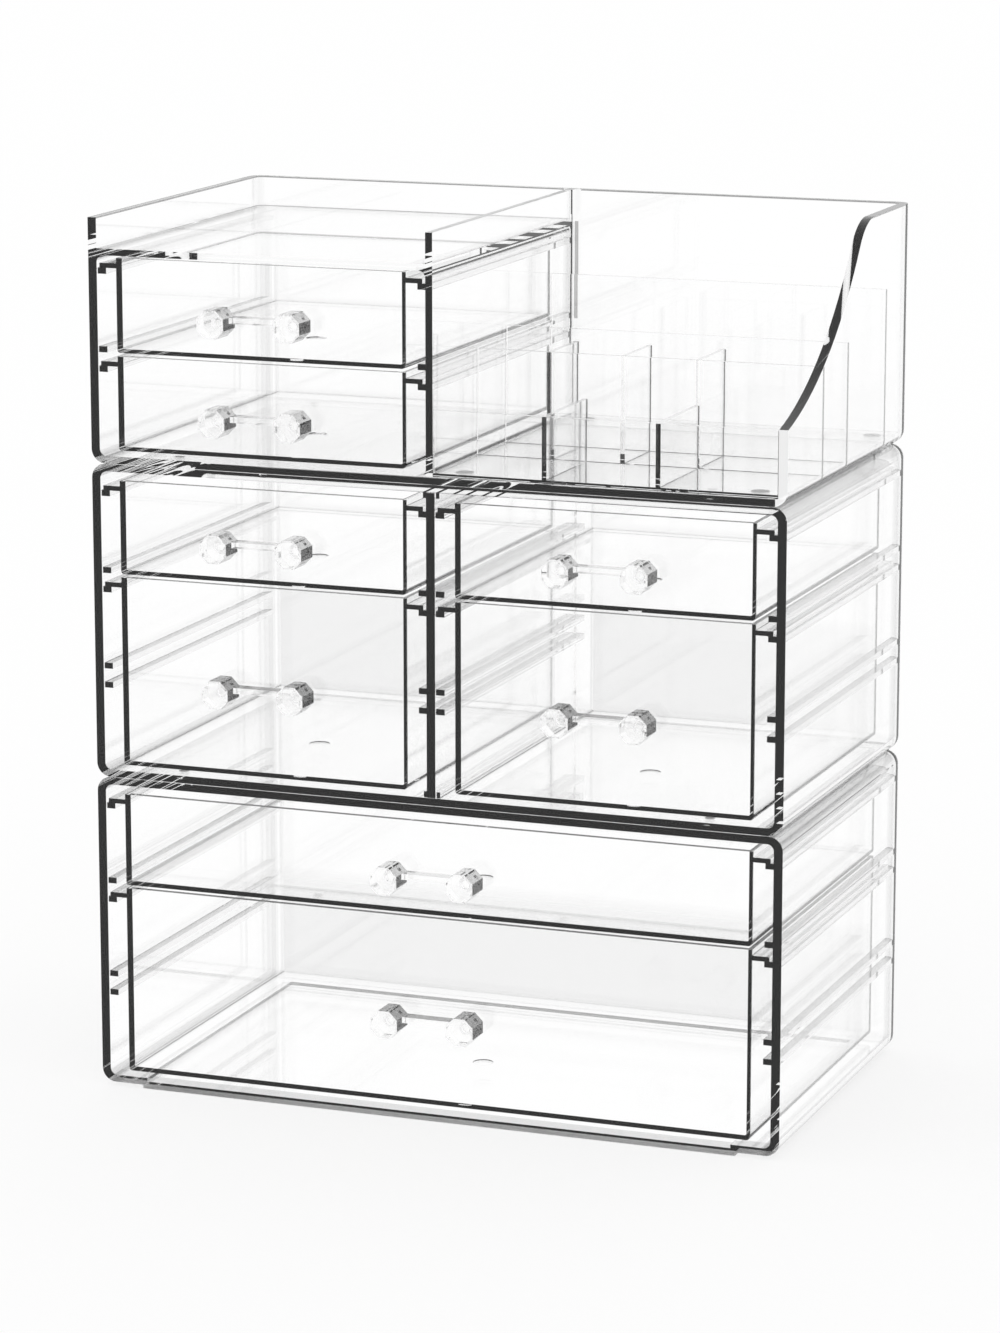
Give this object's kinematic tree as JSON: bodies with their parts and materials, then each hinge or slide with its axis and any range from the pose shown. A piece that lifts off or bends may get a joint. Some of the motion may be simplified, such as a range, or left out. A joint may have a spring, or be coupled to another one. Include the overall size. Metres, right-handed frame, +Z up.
{
  "type": "makeup organizer with drawers",
  "caption": "Clear acrylic makeup and jewellery organiser: stacked tiers of pull-out drawers with double-knob handles, a tower with a tray on top, and stepped open compartments beside it.",
  "frame": {"origin": "middle of the whole organiser's footprint, handles included, on the surface it stands on", "axes": "+Z up; +X to the right as seen by someone facing the drawers; +Y to the back, so the drawers pull out along -Y"},
  "size_m": [0.24, 0.146, 0.2948],
  "materials": {
    "clear_case": "clear polished moulded acrylic",
    "clear_drawer": "clear polished moulded acrylic",
    "clear_handle": "clear polished faceted acrylic"
  },
  "bodies": {
    "lower_tier": {"lower_case": "clear_case"},
    "middle_tier": {"middle_case": "clear_case", "middle_divider": "clear_case"},
    "top_tier": {"top_case": "clear_case", "compartment_insert": "clear_case"},
    "lower_shallow_pull": {"lower_shallow_drawer": "clear_drawer", "lower_shallow_handle": "clear_handle"},
    "lower_deep_pull": {"lower_deep_drawer": "clear_drawer", "lower_deep_handle": "clear_handle"},
    "middle_left_shallow_pull": {"middle_left_shallow_drawer": "clear_drawer", "middle_left_shallow_handle": "clear_handle"},
    "middle_left_deep_pull": {"middle_left_deep_drawer": "clear_drawer", "middle_left_deep_handle": "clear_handle"},
    "middle_right_shallow_pull": {"middle_right_shallow_drawer": "clear_drawer", "middle_right_shallow_handle": "clear_handle"},
    "middle_right_deep_pull": {"middle_right_deep_drawer": "clear_drawer", "middle_right_deep_handle": "clear_handle"},
    "tower_upper_pull": {"tower_upper_drawer": "clear_drawer", "tower_upper_handle": "clear_handle"},
    "tower_lower_pull": {"tower_lower_drawer": "clear_drawer", "tower_lower_handle": "clear_handle"}
  },
  "joints": [
    {"name": "middle_tier_lift", "type": "slide", "parent": "lower_tier", "child": "middle_tier", "axis": [0, 0, 1], "range_m": [0, 0.06]},
    {"name": "top_tier_lift", "type": "slide", "parent": "middle_tier", "child": "top_tier", "axis": [0, 0, 1], "range_m": [0, 0.06]},
    {"name": "lower_shallow_slide", "type": "slide", "parent": "lower_tier", "child": "lower_shallow_pull", "axis": [0, -1, 0], "range_m": [0, 0.1]},
    {"name": "lower_deep_slide", "type": "slide", "parent": "lower_tier", "child": "lower_deep_pull", "axis": [0, -1, 0], "range_m": [0, 0.1]},
    {"name": "middle_left_shallow_slide", "type": "slide", "parent": "middle_tier", "child": "middle_left_shallow_pull", "axis": [0, -1, 0], "range_m": [0, 0.1]},
    {"name": "middle_left_deep_slide", "type": "slide", "parent": "middle_tier", "child": "middle_left_deep_pull", "axis": [0, -1, 0], "range_m": [0, 0.1]},
    {"name": "middle_right_shallow_slide", "type": "slide", "parent": "middle_tier", "child": "middle_right_shallow_pull", "axis": [0, -1, 0], "range_m": [0, 0.1]},
    {"name": "middle_right_deep_slide", "type": "slide", "parent": "middle_tier", "child": "middle_right_deep_pull", "axis": [0, -1, 0], "range_m": [0, 0.1]},
    {"name": "tower_upper_slide", "type": "slide", "parent": "top_tier", "child": "tower_upper_pull", "axis": [0, -1, 0], "range_m": [0, 0.1]},
    {"name": "tower_lower_slide", "type": "slide", "parent": "top_tier", "child": "tower_lower_pull", "axis": [0, -1, 0], "range_m": [0, 0.1]}
  ]
}
